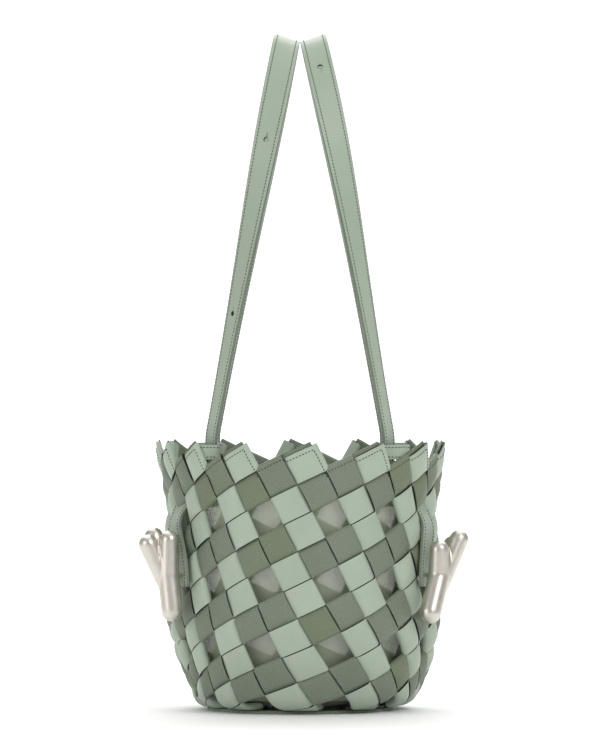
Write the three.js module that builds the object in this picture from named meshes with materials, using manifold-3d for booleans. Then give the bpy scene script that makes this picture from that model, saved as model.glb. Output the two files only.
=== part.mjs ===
// Woven leather bucket bag with two shoulder straps, a translucent inner pouch and forked metal toggles.
// Lengths are in millimetres, +Z is up, the front faces -Y, and the origin is under the middle of the base.
// The wall is an oval tube woven from short leather strips at a slant. Its weave repeats `periods` times
// round the bag, and every fifth cell of the weave is an open window.
import * as THREE from 'three';
import { mergeVertices } from 'three/addons/utils/BufferGeometryUtils.js';
import Module from 'manifold-3d';

const wasm = await Module();
wasm.setup();

// Body of the bag
const wallHalfWidth = 101.5;
const rimHalfWidth = 108;
const depthRatio = 0.96;
const flareStart = 150;
const flareEnd = 200;
const taperStart = 72;
const taperBendRadius = 90;
const taperLean = THREE.MathUtils.degToRad(20);
const bottomBendRadius = 16;
const weaveThickness = 3.6;
const fitGap = 0.3;

// Weave
const periods = 14;
const periodHeight = 49;
const frontStretch = 0.054;
const cellOriginTurn = -0.135;
const cellOriginHeight = 106.4;
const stripOverBase = 13;
const windowType = 4;
const typesInCycle = 5;

// Base
const baseThickness = 2.1;
const baseHalfWidth = 69.5;
const boardHalfWidth = baseHalfWidth - 9;
const boardThickness = 1.8;

// Pouch
const pouchHalfWidth = 89;
const pouchTop = 168;
const pouchFilm = 0.8;

// Keepers: leather loops inside the rim, one round each strap leg
const keeperHeight = 12;
const keeperWall = 1.5;
const keeperTop = 199;
const keeperOpening = { length: 23, depth: 13 };
const keeperAngle = 50;
const keeperTurn = 1.63;
const keeperOffset = -15;

// Straps
const strapWidth = 20;
const strapLayer = 1;
const strapLayerGap = 0.3;
const footAboveKeeper = 5;
const strapTop = { x: -10.6, z: 501.5 };
const archRoundness = 2.6;
const strapTwistAtFoot = 75;
const strapTwistAtTop = -7;
const keyholeRadius = 2;
const keyholeHeights = [92, 222];
const keyholeBehindTop = 280;

// Toggles, on posts through the strap tails
const postHeight = 102;
const postRadius = 1.6;
const postHeadRadius = 5;
const postHeadThickness = 1.4;
const postHeadGap = 1;
const postBoreClearance = 0.08;
const toggleStandOff = 15;
const stemRadius = 7.2;
const sideFingerRadius = 5.7;

const sheetMaterial = (color, roughness, metalness = 0) => {
  return new THREE.MeshStandardMaterial({ color, roughness, metalness });
};
const materials = {
  weave: sheetMaterial(0x93a38f, 0.6),
  base: sheetMaterial(0x7f8b78, 0.6),
  board: sheetMaterial(0x6d6a62, 0.9),
  pouch: sheetMaterial(0xb9bab4, 0.5),
  strap: sheetMaterial(0xa7b5a5, 0.55),
  lining: sheetMaterial(0x97a695, 0.65),
  toggle: sheetMaterial(0xd8d2c8, 0.28, 1),
  post: sheetMaterial(0xd9c9b4, 0.25, 1),
};

const degrees = (angle) => THREE.MathUtils.degToRad(angle);

// ---------------------------------------------------------------------------------------------
// Solids
// ---------------------------------------------------------------------------------------------

function signedVolume(positions, index) {
  const corner = [new THREE.Vector3(), new THREE.Vector3(), new THREE.Vector3()];
  let volume = 0;
  for (let start = 0; start < index.length; start += 3) {
    corner.forEach((point, offset) => point.fromArray(positions, index[start + offset] * 3));
    volume += corner[0].dot(corner[1].clone().cross(corner[2])) / 6;
  }
  return volume;
}

function solidFrom(positions, index) {
  const geometry = new THREE.BufferGeometry();
  const outward = signedVolume(positions, index) > 0 ? index : index.slice().reverse();
  geometry.setAttribute('position', new THREE.Float32BufferAttribute(positions, 3));
  geometry.setIndex(outward);
  return geometry;
}

// A curved plate over a grid of cells. pointAt(row, column, side) gives the two faces of the plate,
// and isOpen(row, column) leaves a cell out.
function plateOverGrid(rows, columns, pointAt, isOpen = () => false) {
  const positions = [];
  for (const side of [0, 1]) {
    for (let row = 0; row <= rows; row++) {
      for (let column = 0; column <= columns; column++) {
        positions.push(...pointAt(row, column, side).toArray());
      }
    }
  }
  const vertex = (row, column, side) => (side * (rows + 1) + row) * (columns + 1) + column;
  const isSolid = (row, column) => {
    return row >= 0 && row < rows && column >= 0 && column < columns && !isOpen(row, column);
  };
  const index = [];
  const addQuad = (a, b, c, d) => index.push(a, b, c, a, c, d);
  const addEdge = (from, to) => {
    addQuad(vertex(...from, 0), vertex(...to, 0), vertex(...to, 1), vertex(...from, 1));
  };
  for (let row = 0; row < rows; row++) {
    for (let column = 0; column < columns; column++) {
      if (!isSolid(row, column)) continue;
      const topLeft = [row, column];
      const topRight = [row, column + 1];
      const bottomLeft = [row + 1, column];
      const bottomRight = [row + 1, column + 1];
      addQuad(...[topLeft, bottomLeft, bottomRight, topRight].map((place) => vertex(...place, 0)));
      addQuad(...[topLeft, topRight, bottomRight, bottomLeft].map((place) => vertex(...place, 1)));
      if (!isSolid(row - 1, column)) addEdge(topLeft, topRight);
      if (!isSolid(row + 1, column)) addEdge(bottomRight, bottomLeft);
      if (!isSolid(row, column - 1)) addEdge(bottomLeft, topLeft);
      if (!isSolid(row, column + 1)) addEdge(topRight, bottomRight);
    }
  }
  return solidFrom(positions, index);
}

function toManifold(geometry) {
  const bare = geometry.clone();
  bare.deleteAttribute('normal');
  bare.deleteAttribute('uv');
  const merged = mergeVertices(bare, 1e-3);
  return new wasm.Manifold(new wasm.Mesh({
    numProp: 3,
    vertProperties: Float32Array.from(merged.attributes.position.array),
    triVerts: Uint32Array.from(merged.index.array),
  }));
}

function toGeometry(manifold) {
  const mesh = manifold.getMesh();
  const geometry = new THREE.BufferGeometry();
  geometry.setAttribute('position', new THREE.Float32BufferAttribute(mesh.vertProperties, 3));
  geometry.setIndex(Array.from(mesh.triVerts));
  return geometry;
}

function cutAway(geometry, tools) {
  return toGeometry(tools.reduce((body, tool) => body.subtract(toManifold(tool)), toManifold(geometry)));
}

function joinAll(geometries) {
  return toGeometry(geometries.map(toManifold).reduce((body, next) => body.add(next)));
}

// Turns a shape made along +Y so that it runs from one point towards another.
function aimAlong(geometry, from, direction) {
  const turn = new THREE.Quaternion().setFromUnitVectors(new THREE.Vector3(0, 1, 0), direction);
  return geometry.applyQuaternion(turn).translate(from.x, from.y, from.z);
}

function cylinderAlong(from, direction, radius, length, sides = 20) {
  const shape = new THREE.CylinderGeometry(radius, radius, length, sides);
  return aimAlong(shape.translate(0, length / 2, 0), from, direction);
}

// A rod with round ends, whose thickness may change along it.
function roundRod(from, to, fromRadius, toRadius, sides = 18) {
  const length = from.distanceTo(to);
  const steps = 5;
  const profile = [];
  for (let step = 0; step <= steps; step++) {
    const angle = (step / steps) * Math.PI / 2;
    profile.push(new THREE.Vector2(fromRadius * Math.sin(angle), -fromRadius * Math.cos(angle)));
  }
  for (let step = 0; step <= steps; step++) {
    const angle = (step / steps) * Math.PI / 2;
    profile.push(new THREE.Vector2(toRadius * Math.cos(angle), length + toRadius * Math.sin(angle)));
  }
  profile[0].x = 0;
  profile.at(-1).x = 0;
  const direction = to.clone().sub(from).normalize();
  return aimAlong(new THREE.LatheGeometry(profile, sides), from, direction);
}

// ---------------------------------------------------------------------------------------------
// The wall's surface
// ---------------------------------------------------------------------------------------------

// Angle from the middle of the front for a place `turn` weave periods round the bag.
// The weave is a little wider at the front and back than at the sides.
function wallAngle(turn) {
  const angle = 2 * Math.PI * turn / periods;
  return angle + frontStretch * Math.sin(2 * angle);
}

// Where the wall's bends begin and end, measured up the wall: it is upright down to `taperStart`, bends to
// `taperLean`, runs straight, and bends again until it lies flat under the bag.
const lowest = baseThickness + fitGap + weaveThickness / 2;
const taperEnd = taperStart - taperBendRadius * taperLean;
const heightAtTaperEnd = taperStart - taperBendRadius * Math.sin(taperLean);
const heightAtBottomBend = lowest + bottomBendRadius * (1 - Math.sin(taperLean));
const straightTaper = (heightAtTaperEnd - heightAtBottomBend) / Math.cos(taperLean);
const bottomBendStart = taperEnd - straightTaper;
const flatStart = bottomBendStart - bottomBendRadius * (Math.PI / 2 - taperLean);

// Half width, inset, height and lean of the wall's middle surface at a distance `rise` up it.
function wallProfile(rise) {
  const flare = THREE.MathUtils.smoothstep(rise, flareStart, 2 * flareEnd - flareStart);
  const halfWidth = wallHalfWidth + 2 * (rimHalfWidth - wallHalfWidth) * flare;
  if (rise >= taperStart) return { halfWidth, inset: 0, height: rise, lean: 0 };
  const taperBend = Math.min((taperStart - rise) / taperBendRadius, taperLean);
  const straight = THREE.MathUtils.clamp(taperEnd - rise, 0, straightTaper);
  const bottomBend = THREE.MathUtils.clamp((bottomBendStart - rise) / bottomBendRadius, 0, Math.PI / 2 - taperLean);
  const flatRun = Math.max(flatStart - rise, 0);
  const lean = taperBend + bottomBend;
  const inset = taperBendRadius * (1 - Math.cos(taperBend)) + straight * Math.sin(taperLean)
    + bottomBendRadius * (Math.cos(taperBend) - Math.cos(lean)) + flatRun;
  const height = taperStart - taperBendRadius * Math.sin(taperBend) - straight * Math.cos(taperLean)
    - bottomBendRadius * (Math.sin(lean) - Math.sin(taperBend));
  return { halfWidth, inset, height, lean };
}

function wallNormal(turn, lean = 0) {
  const angle = wallAngle(turn);
  const flat = new THREE.Vector3(Math.sin(angle) * depthRatio, -Math.cos(angle), 0).normalize();
  return flat.multiplyScalar(Math.cos(lean)).setZ(-Math.sin(lean));
}

function wallPoint(turn, rise, offset = 0) {
  const { halfWidth, inset, height, lean } = wallProfile(rise);
  const angle = wallAngle(turn);
  const x = (halfWidth - inset) * Math.sin(angle);
  const y = -(halfWidth * depthRatio - inset) * Math.cos(angle);
  return new THREE.Vector3(x, y, height).addScaledVector(wallNormal(turn, lean), offset);
}

// Weave cells lie on a slanted grid: `across` counts along the light strips and `down` along the dark ones.
function cellTurn(across, down) {
  return cellOriginTurn + 0.4 * across + 0.2 * down;
}

function cellRise(across, down) {
  return cellOriginHeight + periodHeight * (0.2 * across - 0.4 * down);
}

function isWindow(across, down) {
  return ((((across - 2 * down) % typesInCycle) + typesInCycle) % typesInCycle) === windowType;
}

// ---------------------------------------------------------------------------------------------
// Body parts
// ---------------------------------------------------------------------------------------------

// One panel is two cells wide and runs from a tooth of the rim down under the base.
function weavePanel(number) {
  const cellsDown = 11;
  const stepsPerCell = 2;
  const firstAcross = 2 * number - 1.5;
  const firstDown = number - 4.5;
  const endRise = flatStart - stripOverBase;
  const gapAcross = fitGap / (0.4 * periodHeight) / 2;
  const pointAt = (row, column, side) => {
    const edgeShift = [gapAcross, 0, -gapAcross][column];
    const across = firstAcross + column + edgeShift;
    const lastDown = (cellOriginHeight + 0.2 * periodHeight * across - endRise) / (0.4 * periodHeight);
    const down = Math.min(firstDown + row / stepsPerCell, lastDown - 0.02 * (cellsDown * stepsPerCell - row));
    const offset = side === 0 ? weaveThickness / 2 : -weaveThickness / 2;
    return wallPoint(cellTurn(across, down), cellRise(across, down), offset);
  };
  const isOpen = (row, column) => {
    const across = Math.round(firstAcross + column + 0.5);
    const down = Math.round(firstDown + Math.floor(row / stepsPerCell) + 0.5);
    return isWindow(across, down);
  };
  return plateOverGrid(cellsDown * stepsPerCell, 2, pointAt, isOpen);
}

function ovalPlate(halfWidth, bottom, thickness, sides = 56) {
  const plate = new THREE.CylinderGeometry(halfWidth, halfWidth, thickness, sides);
  plate.rotateX(Math.PI / 2);
  plate.scale(1, (wallHalfWidth * depthRatio - (wallHalfWidth - halfWidth)) / halfWidth, 1);
  return plate.translate(0, 0, bottom + thickness / 2);
}

function innerPouch(bottom) {
  const shoulder = 24;
  const outer = [
    [0, bottom],
    [boardHalfWidth - 4, bottom],
    [pouchHalfWidth - 9, bottom + 7],
    [pouchHalfWidth - 2, bottom + shoulder],
    [pouchHalfWidth, pouchTop],
  ];
  const inner = outer.slice(1).toReversed().map(([radius, height], step) => {
    return [radius - pouchFilm, step === 0 ? height : height + pouchFilm];
  });
  const profile = [...outer, ...inner, [0, bottom + pouchFilm]].map((point) => new THREE.Vector2(...point));
  const cup = new THREE.LatheGeometry(profile, 40);
  return cup.rotateX(Math.PI / 2).scale(1, depthRatio, 1);
}

// ---------------------------------------------------------------------------------------------
// Straps
// ---------------------------------------------------------------------------------------------

const keeperPlace = wallPoint(-keeperTurn, keeperTop, keeperOffset);
const strapFoot = { x: keeperPlace.x, z: keeperTop + footAboveKeeper };
const strapLegHalfSpan = -keeperPlace.y;

// Centre line and width direction of the left strap at `along`, from -1 at the front foot
// over the top at 0 to 1 at the back foot.
function strapLine(along) {
  const height = Math.hypot(strapTop.x - strapFoot.x, strapTop.z - strapFoot.z);
  const lean = Math.atan2(strapTop.x - strapFoot.x, strapTop.z - strapFoot.z);
  const sweep = Math.abs(along) * Math.PI / 2;
  const up = height * Math.cos(sweep) ** (2 / archRoundness);
  const side = Math.sign(along) * strapLegHalfSpan * Math.sin(sweep) ** (2 / archRoundness);
  const point = new THREE.Vector3(0, side, up);
  point.applyAxisAngle(new THREE.Vector3(0, 1, 0), lean);
  return point.add(new THREE.Vector3(strapFoot.x, 0, strapFoot.z));
}

function strapFrame(along) {
  const step = 1e-3;
  const before = strapLine(Math.max(along - step, -1));
  const after = strapLine(Math.min(along + step, 1));
  const tangent = after.sub(before).normalize();
  const height = Math.cos(Math.abs(along) * Math.PI / 2) ** (2 / archRoundness);
  const twist = degrees(strapTwistAtFoot + (strapTwistAtTop - strapTwistAtFoot) * height ** 2);
  const flat = new THREE.Vector3(1, 0, 0);
  flat.addScaledVector(tangent, -flat.dot(tangent)).normalize();
  const face = flat.clone().cross(tangent);
  const across = flat.clone().multiplyScalar(Math.cos(twist)).addScaledVector(face, Math.sin(twist));
  return { centre: strapLine(along), across, outward: across.clone().cross(tangent) };
}

// A layer of the left strap between two offsets from its centre line.
function strapSheet(outerOffset, innerOffset) {
  const rows = 44;
  const frames = Array.from({ length: rows + 1 }, (_, row) => {
    const spread = 2 * row / rows - 1;
    return strapFrame(Math.sign(spread) * Math.abs(spread) ** 1.15 * 0.999);
  });
  return plateOverGrid(rows, 1, (row, column, side) => {
    const { centre, across, outward } = frames[row];
    const offset = side === 0 ? innerOffset : outerOffset;
    return centre.clone().addScaledVector(across, strapWidth * (column - 0.5)).addScaledVector(outward, offset);
  });
}

// Strap position at a height above its feet, on the front leg (side -1) or the back leg (side 1).
function alongAtHeight(heightAboveFoot, side) {
  const fraction = heightAboveFoot / Math.hypot(strapTop.x - strapFoot.x, strapTop.z - strapFoot.z);
  return side * Math.acos(fraction ** (archRoundness / 2)) / (Math.PI / 2);
}

function keyholeTools(adjustableSide) {
  const places = keyholeHeights.map((height) => alongAtHeight(height, adjustableSide));
  places.push(alongAtHeight(keyholeBehindTop, -adjustableSide));
  return places.map((along) => {
    const { centre, outward } = strapFrame(along);
    return cylinderAlong(centre.clone().addScaledVector(outward, -4), outward, keyholeRadius, 8, 16);
  });
}

// Turns a centre line with outward directions into frames whose width lies square to the line.
function framesAlong(points) {
  return points.map(({ centre, outward }, place) => {
    const before = points[Math.max(place - 1, 0)].centre;
    const after = points[Math.min(place + 1, points.length - 1)].centre;
    const across = after.clone().sub(before).cross(outward).normalize();
    return { centre, across, outward };
  });
}

// The run of the strap below its front keeper: down inside the wall, out through a window and down to the post.
function tailFrames(exitTurn, postTurn) {
  const mirror = Math.sign(postTurn);
  const inside = -5.4;
  const outside = weaveThickness / 2 + fitGap + strapLayer + 0.4;
  const startRise = keeperTop - 1;
  const endRise = postHeight - 12;
  const rows = 30;
  const { smoothstep, lerp } = THREE.MathUtils;
  return framesAlong(Array.from({ length: rows + 1 }, (_, row) => {
    const rise = lerp(startRise, endRise, row / rows);
    const leftKeeper = 1 - smoothstep(rise, 154, startRise - 12);
    const goneOut = 1 - smoothstep(rise, 136, 158);
    const goneDown = 1 - smoothstep(rise, postHeight, 150);
    const turnAbove = lerp(mirror * keeperTurn, exitTurn, leftKeeper);
    const offsetAbove = lerp(keeperOffset, inside, leftKeeper);
    const turn = lerp(turnAbove, postTurn, goneDown);
    return { centre: wallPoint(turn, rise, lerp(offsetAbove, outside, goneOut)), outward: wallNormal(turn) };
  }));
}

// The run of the strap below its back keeper, which ends flat against the inside of the wall.
function backEndFrames() {
  const { smoothstep, lerp } = THREE.MathUtils;
  const startRise = keeperTop - 1;
  const endRise = startRise - 48;
  const rows = 12;
  return framesAlong(Array.from({ length: rows + 1 }, (_, row) => {
    const rise = lerp(startRise, endRise, row / rows);
    const offset = lerp(keeperOffset, -4.5, 1 - smoothstep(rise, endRise + 12, startRise - 12));
    const turn = periods / 2 + keeperTurn;
    return { centre: wallPoint(turn, rise, offset), outward: wallNormal(turn) };
  }));
}

function strapTail(frames, width, halfThickness) {
  return plateOverGrid(frames.length - 1, 1, (row, column, side) => {
    const { centre, across, outward } = frames[row];
    const offset = side === 0 ? halfThickness : -halfThickness;
    return centre.clone().addScaledVector(across, width * (column - 0.5)).addScaledVector(outward, offset);
  });
}

// An upright loop of leather round one strap leg, on the left of the bag.
function keeper(side) {
  const outer = new THREE.Shape();
  const halfLength = keeperOpening.length / 2 + keeperWall;
  const halfDepth = keeperOpening.depth / 2 + keeperWall;
  const round = halfDepth;
  outer.moveTo(-halfLength + round, -halfDepth);
  outer.lineTo(halfLength - round, -halfDepth);
  outer.absarc(halfLength - round, 0, round, -Math.PI / 2, Math.PI / 2, false);
  outer.lineTo(-halfLength + round, halfDepth);
  outer.absarc(-halfLength + round, 0, round, Math.PI / 2, Math.PI * 1.5, false);
  const hole = new THREE.Path();
  const innerRound = keeperOpening.depth / 2;
  hole.moveTo(-halfLength + round, -innerRound);
  hole.absarc(-halfLength + round, 0, innerRound, Math.PI * 1.5, Math.PI / 2, true);
  hole.lineTo(halfLength - round, innerRound);
  hole.absarc(halfLength - round, 0, innerRound, Math.PI / 2, -Math.PI / 2, true);
  outer.holes.push(hole);
  const loop = new THREE.ExtrudeGeometry(outer, { depth: keeperHeight, bevelEnabled: false, curveSegments: 8 });
  loop.rotateZ(side * degrees(keeperAngle));
  return loop.translate(keeperPlace.x, -side * keeperPlace.y, keeperTop - keeperHeight);
}

// ---------------------------------------------------------------------------------------------
// Toggles
// ---------------------------------------------------------------------------------------------

// The post goes from inside the wall, through the strap tail, into the toggle.
function togglePost(turn) {
  const direction = wallNormal(turn);
  const headStart = wallPoint(turn, postHeight, -weaveThickness / 2 - postHeadGap - postHeadThickness);
  const length = toggleStandOff + weaveThickness / 2 + postHeadGap + postHeadThickness;
  const head = cylinderAlong(headStart, direction, postHeadRadius, postHeadThickness, 24);
  return joinAll([head, cylinderAlong(headStart, direction, postRadius, length, 16)]);
}

// A stem with one finger in line with it and two shorter fingers that spread away from the front.
function forkedToggle(turn, tilt) {
  const outward = wallNormal(turn);
  const awayFromFront = new THREE.Vector3(-outward.y, outward.x, 0).multiplyScalar(Math.sign(turn)).normalize();
  const centre = wallPoint(turn, postHeight, toggleStandOff);
  const place = (sideways, height, out) => {
    const point = new THREE.Vector3(0, 0, height).addScaledVector(awayFromFront, sideways);
    point.addScaledVector(outward, out).applyAxisAngle(outward, tilt);
    return point.add(centre);
  };
  const rods = [
    roundRod(place(0.5, -27, 0), place(0, 0, 0.8), stemRadius, stemRadius),
    roundRod(place(0, 0, 0.8), place(0, 24.5, 0), stemRadius, stemRadius),
    roundRod(place(1, -8, 1.5), place(8, 25.5, 12.5), sideFingerRadius + 0.6, sideFingerRadius),
    roundRod(place(1, -6, 0.5), place(16.5, 29, 1), sideFingerRadius + 0.6, sideFingerRadius),
  ];
  const boreDepth = wallPoint(turn, postHeight, toggleStandOff - stemRadius - 3);
  const bore = cylinderAlong(boreDepth, outward, postRadius + postBoreClearance, stemRadius + 4, 16);
  return cutAway(joinAll(rods), [bore]);
}

// ---------------------------------------------------------------------------------------------
// Assembly
// ---------------------------------------------------------------------------------------------

const mirrorAcrossMiddle = (geometry) => toGeometry(toManifold(geometry).mirror([1, 0, 0]));

const sides = [
  { name: 'left', exitTurn: -2.535, postTurn: -2.06, adjustableSide: -1, tilt: 0 },
  { name: 'right', exitTurn: 2.465, postTurn: 2.28, adjustableSide: 1, tilt: degrees(6) },
];

function addWall(add) {
  const tools = sides.flatMap(({ exitTurn, postTurn }) => {
    const slot = strapTail(tailFrames(exitTurn, postTurn), strapWidth + 1, strapLayer + 0.6);
    const postHole = cylinderAlong(
      wallPoint(postTurn, postHeight, -8), wallNormal(postTurn), postRadius + fitGap, 16, 16);
    return [slot, postHole];
  });
  for (let number = 0; number < periods; number++) {
    add(`weave_panel_${String(number + 1).padStart(2, '0')}`, cutAway(weavePanel(number), tools), 'weave');
  }
}

function addBase(add) {
  const boardBottom = baseThickness + 2 * fitGap + weaveThickness;
  add('base_panel', ovalPlate(baseHalfWidth, 0, baseThickness), 'base');
  add('base_board', ovalPlate(boardHalfWidth, boardBottom, boardThickness), 'board');
  add('inner_pouch', innerPouch(boardBottom + boardThickness + fitGap), 'pouch');
}

function addStrap(add, side) {
  const layerStart = strapLayerGap / 2;
  const keyholes = keyholeTools(side.adjustableSide);
  const outer = cutAway(strapSheet(layerStart + strapLayer, layerStart), keyholes);
  const lining = cutAway(strapSheet(-layerStart, -layerStart - strapLayer), keyholes);
  const place = side.name === 'right' ? mirrorAcrossMiddle : (geometry) => geometry;
  add(`${side.name}_strap`, place(outer), 'strap');
  add(`${side.name}_strap_lining`, place(lining), 'lining');
  add(`${side.name}_front_keeper`, place(keeper(-1)), 'strap');
  add(`${side.name}_back_keeper`, place(keeper(1)), 'strap');
  add(`${side.name}_strap_back_end`, place(strapTail(backEndFrames(), strapWidth, strapLayer)), 'strap');
}

function addTailAndToggle(add, side) {
  const frames = tailFrames(side.exitTurn, side.postTurn);
  const keyhole = cylinderAlong(
    wallPoint(side.postTurn, postHeight, -2), wallNormal(side.postTurn), keyholeRadius, 12, 16);
  add(`${side.name}_strap_tail`, cutAway(strapTail(frames, strapWidth, strapLayer), [keyhole]), 'strap');
  add(`${side.name}_toggle_post`, togglePost(side.postTurn), 'post');
  add(`${side.name}_toggle`, forkedToggle(side.postTurn, side.tilt), 'toggle');
}

function buildBag() {
  const bag = new THREE.Group();
  const add = (name, geometry, material) => {
    const mesh = new THREE.Mesh(geometry, materials[material]);
    mesh.name = name;
    bag.add(mesh);
  };
  addWall(add);
  addBase(add);
  for (const side of sides) {
    addStrap(add, side);
    addTailAndToggle(add, side);
  }
  return bag;
}

export default buildBag();
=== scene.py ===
"""Looks of a woven leather bucket bag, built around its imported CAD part. Lengths are in metres, +Z is up."""

import bisect
import math

import bmesh
import bpy
from mathutils import Matrix, Vector, noise


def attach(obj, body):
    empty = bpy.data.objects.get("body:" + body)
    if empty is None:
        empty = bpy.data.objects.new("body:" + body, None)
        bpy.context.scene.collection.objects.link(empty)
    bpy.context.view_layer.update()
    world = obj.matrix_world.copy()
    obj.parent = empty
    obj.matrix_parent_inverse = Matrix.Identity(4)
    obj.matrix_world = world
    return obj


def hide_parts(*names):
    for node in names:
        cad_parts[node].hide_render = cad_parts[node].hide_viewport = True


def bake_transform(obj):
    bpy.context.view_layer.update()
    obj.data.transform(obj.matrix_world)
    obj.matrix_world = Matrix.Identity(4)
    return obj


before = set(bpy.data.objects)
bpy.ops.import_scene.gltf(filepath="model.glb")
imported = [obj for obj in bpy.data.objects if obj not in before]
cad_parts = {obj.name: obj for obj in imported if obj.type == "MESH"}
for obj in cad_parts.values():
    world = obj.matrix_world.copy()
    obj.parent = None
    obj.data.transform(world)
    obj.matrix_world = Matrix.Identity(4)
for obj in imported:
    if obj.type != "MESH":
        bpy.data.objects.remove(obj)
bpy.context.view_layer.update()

MM = 0.001

# The wall and its weave, with the CAD part's dimensions
WALL_HALF_WIDTH = 101.5 * MM
RIM_HALF_WIDTH = 108 * MM
DEPTH_RATIO = 0.96
FLARE_START = 150 * MM
FLARE_END = 200 * MM
LOWEST = 4.2 * MM
TAPER_START = 72 * MM
TAPER_BEND_RADIUS = 90 * MM
TAPER_LEAN = math.radians(20)
BOTTOM_BEND_RADIUS = 16 * MM
SIDE_TUCK = 3.3 * MM
LEAN_AT_BOTTOM = 4 * MM
LEAN_HIGHER_UP = 1.5 * MM
BOTTOM_SPREAD = 0.21
SPREAD_START = 100 * MM
SPREAD_DONE = 13 * MM
PERIODS = 14
PERIOD_HEIGHT = 49 * MM
FRONT_STRETCH = 0.054
CELL_ORIGIN_TURN = -0.135
CELL_ORIGIN_HEIGHT = 106.4 * MM
STRIP_OVER_BASE = 13 * MM
TYPES_IN_CYCLE = 5
LIGHT_FIRST, DARK_BELOW, DARK_FIRST, LIGHT_LAST, WINDOW = range(TYPES_IN_CYCLE)

# Corner of a leather band's section: (out, down) as shares of its rounding
BAND_CORNER = ((0.55, 0.12), (0.9, 0.45), (1.0, 1.0))

# Leather strips
GRAIN_PITCH = 1.45 * MM
STRIP_THICKNESS = 1.3 * MM
LIGHT_SHARE = 0.98
DARK_SHARE = 0.983
LAY_HEIGHT = 0.72 * MM
CELL_LENGTH = 22 * MM
STEPS_PER_CELL = 10
DIP_SHARE = 0.15
FOLD_IN_FRONT = 2.4 * MM
FOLD_AT_SIDES = 5 * MM
FOLD_OVERHANG_IN_FRONT = -0.1 * MM
FOLD_OVERHANG_AT_SIDES = 2.2 * MM
THIN_FOLD_DEPTH = 2.9 * MM
THICK_FOLD_DEPTH = 6.5 * MM
FLAP_LENGTH = 7 * MM
RIM_FOLD = 1.3 * MM
RIM_OVERHANG = 2.6 * MM
CUT_OVERHANG = 0.12
HEM_FLARE = 1.0 * MM
HEM_SHARE = 0.3
PUFF_IN_FRONT = 0.5 * MM
PUFF_AT_SIDES = 3.2 * MM
PUFF_SQUARENESS = 0.4
STRIP_CROWN = 0.25 * MM
DARK_PINCH = 0.025
LEFT_DRIFT = math.radians(8.5)

# Straps
STRAP_WIDTH = 20 * MM
STRAP_THICKNESS = 2.2 * MM
KEEPER_TOP = 199 * MM
KEEPER_HEIGHT = 11 * MM
KEEPER_WALL = 1.5 * MM
KEEPER_TURN = 1.63
KEEPER_OFFSET = -15 * MM
STRAP_TOP = Vector((-9.8 * MM, 0, 502.3 * MM))
ARCH_ROUNDNESS = 2.6
STRAP_TWIST_AT_FOOT = 68
STRAP_TWIST_AT_TOP = -18
TURN_IN_KEEPER = math.radians(24)
TURN_AT_POST = math.radians(10)
TAIL_BELOW_POST = 8 * MM
BACK_END_LENGTH = 48 * MM
PATH_STEP = 2 * MM
KEYHOLE_RADIUS = 2 * MM
KEYHOLE_SLIT = 5.5 * MM
KEYHOLE_HEIGHTS = (92 * MM, 220 * MM)
KEYHOLE_BEHIND_TOP = 275 * MM

# Stitches
STITCH_PITCH = 2.55 * MM
STITCH_LENGTH = 1.55 * MM
STITCH_RADIUS = 0.38 * MM
STITCH_LEAD = 0.12
STRAP_STITCH_INSET = 2.7 * MM
RIM_STITCH_INSET = 3.5 * MM
# Along a stitch: (share of its length, thickness, lift), the last two as shares of its radius
STITCH_PROFILE = ((0, 0.35, -0.5), (0.14, 0.85, 0.1), (0.5, 1.0, 0.35), (0.86, 0.85, 0.1), (1, 0.35, -0.5))

# Toggles
POST_HEIGHT = 102 * MM
TOGGLE_STAND_OFF = 15 * MM
STEM_RADIUS = 8.1 * MM
SIDE_FINGER_RADIUS = 7.3 * MM
TOGGLE_VOXEL = 0.7 * MM
TOGGLE_SMOOTHING_ROUNDS = 14

# Base and pouch
BASE_HALF_WIDTH = 69.5 * MM
BASE_THICKNESS = 2.1 * MM
OVAL_POINTS = 96
POUCH_HALF_WIDTH = 92.5 * MM
POUCH_BOTTOM = 8.4 * MM
POUCH_TOP = 168 * MM
POUCH_FILM = 0.5 * MM
POUCH_POINTS = 160

# Camera, level with the middle of the bag and its raised straps, far off with a long lens
CAMERA_DISTANCE = 4.0
CAMERA_HEIGHT = 0.25
CAMERA_LENS = 255.7


def clamp(value, low, high):
    return min(max(value, low), high)


def smoothstep(value, low, high):
    share = clamp((value - low) / (high - low), 0.0, 1.0)
    return share * share * (3 - 2 * share)


def lerp(first, last, share):
    return first + (last - first) * share


def circle(count):
    """Even angles round a full turn."""
    return [2 * math.pi * step / count for step in range(count)]


def distances_along(run):
    """How far along a run of (place, direction) pairs each place lies."""
    distances = [0.0]
    for (first, _), (second, _) in zip(run, run[1:]):
        distances.append(distances[-1] + (second - first).length)
    return distances


def run_at(run, distances, distance):
    """The (place, direction) pair at a distance along a run."""
    number = clamp(bisect.bisect_right(distances, distance) - 1, 0, len(run) - 2)
    share = (distance - distances[number]) / max(distances[number + 1] - distances[number], 1e-9)
    (place, direction), (next_place, next_direction) = run[number:number + 2]
    return place.lerp(next_place, share), direction.lerp(next_direction, share)


# ---- The wall's surface ----

def wall_angle(turn):
    """Angle from the middle of the front, `turn` periods of the weave round the bag."""
    angle = 2 * math.pi * turn / PERIODS
    return angle + FRONT_STRETCH * math.sin(2 * angle)


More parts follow.
